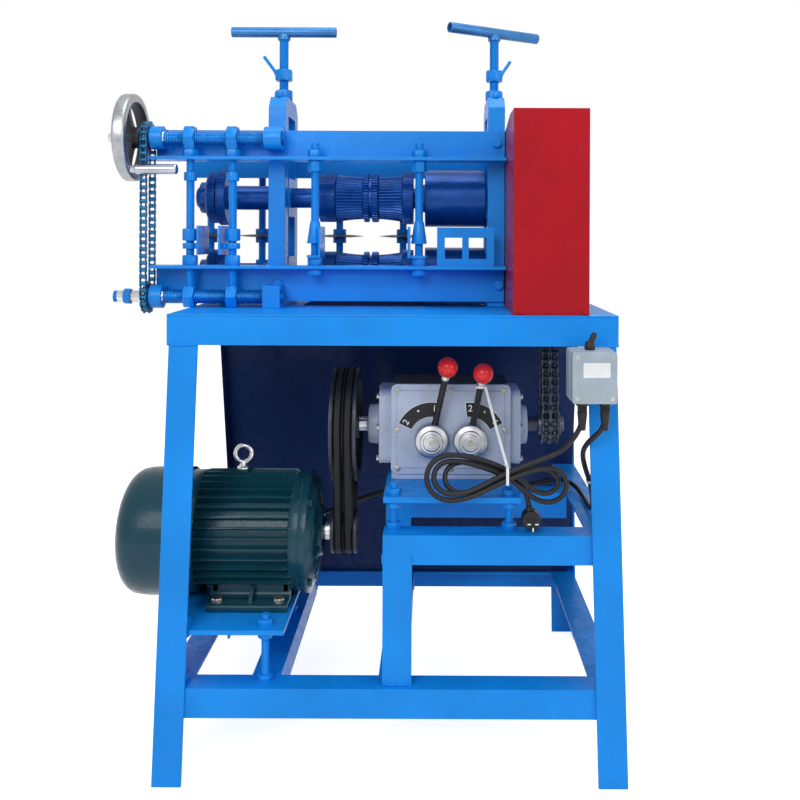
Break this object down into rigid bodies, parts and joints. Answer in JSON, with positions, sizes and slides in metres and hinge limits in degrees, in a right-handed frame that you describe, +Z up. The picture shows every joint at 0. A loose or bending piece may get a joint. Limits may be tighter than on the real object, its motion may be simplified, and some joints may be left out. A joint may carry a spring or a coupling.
{
  "type": "wire stripping machine",
  "caption": "Floor-standing electric wire stripping machine: welded table, motor and gearbox below, and a geared roller head with press screws, guides and a chain cover on top.",
  "frame": {"origin": "middle of the machine's outline, on the floor", "axes": "+X to the operator's right, +Y to the back, +Z up"},
  "size_m": [0.942, 0.655, 1.3442],
  "materials": {
    "blue_paint": "gloss blue paint",
    "dark_sheet": "satin black paint",
    "bare_steel": "turned bright steel",
    "motor_paint": "dark teal paint",
    "gear_paint": "light grey-blue paint",
    "dial": "black plate",
    "belt_rubber": "matt black rubber",
    "roller_steel": "hard polished steel",
    "red_paint": "gloss red paint",
    "dark_steel": "oiled dark steel",
    "grey_plastic": "light grey plastic",
    "black_plastic": "matt black plastic",
    "cord_sheath": "black sheath",
    "tie_plastic": "white nylon",
    "blue_roller": "blue sprayed over polished steel",
    "red_ball": "gloss red knob on a black rod"
  },
  "bodies": {
    "table": {"left_legs": "blue_paint", "right_legs": "blue_paint", "table_apron": "blue_paint", "table_top": "blue_paint", "base_rails": "blue_paint", "gearbox_stand": "blue_paint", "chute": "dark_sheet", "mounting_plates": "blue_paint", "motor_fasteners": "bare_steel", "motor_body": "motor_paint", "motor_end_shields": "motor_paint", "motor_fan_cover": "motor_paint", "motor_terminal_box": "motor_paint", "gearbox_fasteners": "blue_paint", "gearbox_case": "gear_paint", "gearbox_cover": "gear_paint", "lever_dial_plates": "dial", "drive_belts": "belt_rubber", "front_upper_rail": "blue_paint", "front_lower_rail": "blue_paint", "rear_rails": "blue_paint", "press_frames": "blue_paint", "head_fasteners": "blue_paint", "shaft_bearings": "blue_paint", "guide_columns": "blue_paint", "guide_plates": "blue_paint", "slitting_discs": "roller_steel", "chain_cover": "red_paint", "roller_drive_chain": "dark_steel", "handwheel_chain": "dark_steel", "switch_box": "grey_plastic", "cable_glands": "black_plastic", "supply_cord": "cord_sheath", "cord_hank": "cord_sheath", "supply_plug": "black_plastic", "motor_lead": "cord_sheath", "cord_ties": "tie_plastic"},
    "carriage": {"pressure_blocks": "blue_paint"},
    "left_screw": {"left_press_screw": "blue_paint"},
    "right_screw": {"right_press_screw": "blue_paint"},
    "left_nut": {"left_lock_nut": "blue_paint"},
    "right_nut": {"right_lock_nut": "blue_paint"},
    "upper_rollers": {"upper_shaft": "blue_paint", "upper_feed_roller": "blue_roller", "upper_drum": "blue_roller", "upper_cutter_discs": "blue_roller"},
    "lower_set": {"lower_shaft": "blue_paint", "lower_rollers": "blue_roller"},
    "output": {"output_shaft": "dark_steel"},
    "input": {"input_pulley": "dark_steel"},
    "rotor": {"motor_rotor": "dark_steel"},
    "wheel": {"handwheel": "bare_steel"},
    "wheel_grip": {"crank_grip": "roller_steel"},
    "lower_lead": {"lower_lead_screw": "blue_paint"},
    "upper_lead": {"upper_lead_screw": "blue_paint"},
    "left_guide_body": {"left_guide": "blue_paint"},
    "right_guide_body": {"right_guide": "blue_paint"},
    "left_lever": {"left_shift_lever": "red_ball"},
    "right_lever": {"right_shift_lever": "red_ball"},
    "knob": {"switch_knob": "black_plastic"}
  },
  "joints": [
    {"name": "left_press_screw_turn", "type": "hinge", "parent": "carriage", "child": "left_screw", "pos_m": [-0.16175, 0.0225, 1.1], "axis": [0, 0, 1], "range_deg": [-5475.7, 3602.2]},
    {"name": "carriage_slide", "type": "slide", "parent": "table", "child": "carriage", "axis": [0, 0, 1], "range_m": [-0.038, 0.025], "deforming": ["roller_drive_chain"]},
    {"name": "right_press_screw_turn", "type": "hinge", "parent": "carriage", "child": "right_screw", "pos_m": [0.26075, 0.0225, 1.1], "axis": [0, 0, 1], "range_deg": [-5475.7, 3602.2]},
    {"name": "left_lock_nut_turn", "type": "hinge", "parent": "table", "child": "left_nut", "pos_m": [-0.16175, 0.0225, 1.247], "axis": [0, 0, 1], "range_deg": [-45, 45]},
    {"name": "right_lock_nut_turn", "type": "hinge", "parent": "table", "child": "right_nut", "pos_m": [0.26075, 0.0225, 1.247], "axis": [0, 0, 1], "range_deg": [-45, 45]},
    {"name": "lower_shaft_spin", "type": "hinge", "parent": "table", "child": "lower_set", "pos_m": [-0.029, 0.0225, 0.846], "axis": [1, 0, 0], "continuous": true},
    {"name": "upper_shaft_spin", "type": "hinge", "parent": "carriage", "child": "upper_rollers", "pos_m": [-0.029, 0.0225, 1.001], "axis": [1, 0, 0], "continuous": true},
    {"name": "output_shaft_spin", "type": "hinge", "parent": "table", "child": "output", "pos_m": [0.361, -0.0425, 0.562], "axis": [1, 0, 0], "continuous": true},
    {"name": "gearbox_input_spin", "type": "hinge", "parent": "table", "child": "input", "pos_m": [-0.026, -0.0425, 0.562], "axis": [1, 0, 0], "continuous": true},
    {"name": "motor_rotor_spin", "type": "hinge", "parent": "table", "child": "rotor", "pos_m": [-0.026, -0.0775, 0.3665], "axis": [1, 0, 0], "continuous": true},
    {"name": "handwheel_turn", "type": "hinge", "parent": "table", "child": "wheel", "pos_m": [-0.429, -0.0925, 1.1085], "axis": [-1, 0, 0], "range_deg": [0, 290], "deforming": ["handwheel_chain"]},
    {"name": "lower_screw_turn", "type": "hinge", "parent": "table", "child": "lower_lead", "pos_m": [-0.279, -0.0925, 0.81005], "axis": [-1, 0, 0], "range_deg": [-1, 291]},
    {"name": "upper_screw_turn", "type": "hinge", "parent": "table", "child": "upper_lead", "pos_m": [-0.279, -0.0925, 1.1085], "axis": [-1, 0, 0], "range_deg": [-1, 291]},
    {"name": "crank_grip_spin", "type": "hinge", "parent": "wheel", "child": "wheel_grip", "pos_m": [-0.379, -0.1347, 1.0465], "axis": [1, 0, 0], "continuous": true},
    {"name": "left_guide_slide", "type": "slide", "parent": "table", "child": "left_guide_body", "axis": [1, 0, 0], "range_m": [-0.0001, 0.0042]},
    {"name": "right_guide_slide", "type": "slide", "parent": "table", "child": "right_guide_body", "axis": [1, 0, 0], "range_m": [-0.0042, 0.0001]},
    {"name": "left_shift_lever_turn", "type": "hinge", "parent": "table", "child": "left_lever", "pos_m": [0.1384, -0.1375, 0.551], "axis": [0, 1, 0], "range_deg": [-57, 8]},
    {"name": "right_shift_lever_turn", "type": "hinge", "parent": "table", "child": "right_lever", "pos_m": [0.2089, -0.1375, 0.551], "axis": [0, 1, 0], "range_deg": [-11, 49], "deforming": ["cord_ties"]},
    {"name": "switch_knob_turn", "type": "hinge", "parent": "table", "child": "knob", "pos_m": [0.401, -0.2925, 0.75], "axis": [0, 0, 1], "range_deg": [-60, 60]}
  ],
  "couplings": [
    {"joint": "left_press_screw_turn", "follows": "carriage_slide", "rad_per_m": 2513.3},
    {"joint": "right_press_screw_turn", "follows": "carriage_slide", "rad_per_m": 2513.3},
    {"joint": "upper_shaft_spin", "follows": "lower_shaft_spin", "ratio": -1},
    {"joint": "output_shaft_spin", "follows": "lower_shaft_spin", "ratio": -1.5},
    {"joint": "motor_rotor_spin", "follows": "gearbox_input_spin", "ratio": 2.8472},
    {"joint": "lower_screw_turn", "follows": "handwheel_turn", "ratio": 1},
    {"joint": "upper_screw_turn", "follows": "handwheel_turn", "ratio": 1},
    {"joint": "left_guide_slide", "follows": "handwheel_turn", "m_per_rad": 0.00079577},
    {"joint": "right_guide_slide", "follows": "handwheel_turn", "m_per_rad": -0.00079577}
  ]
}
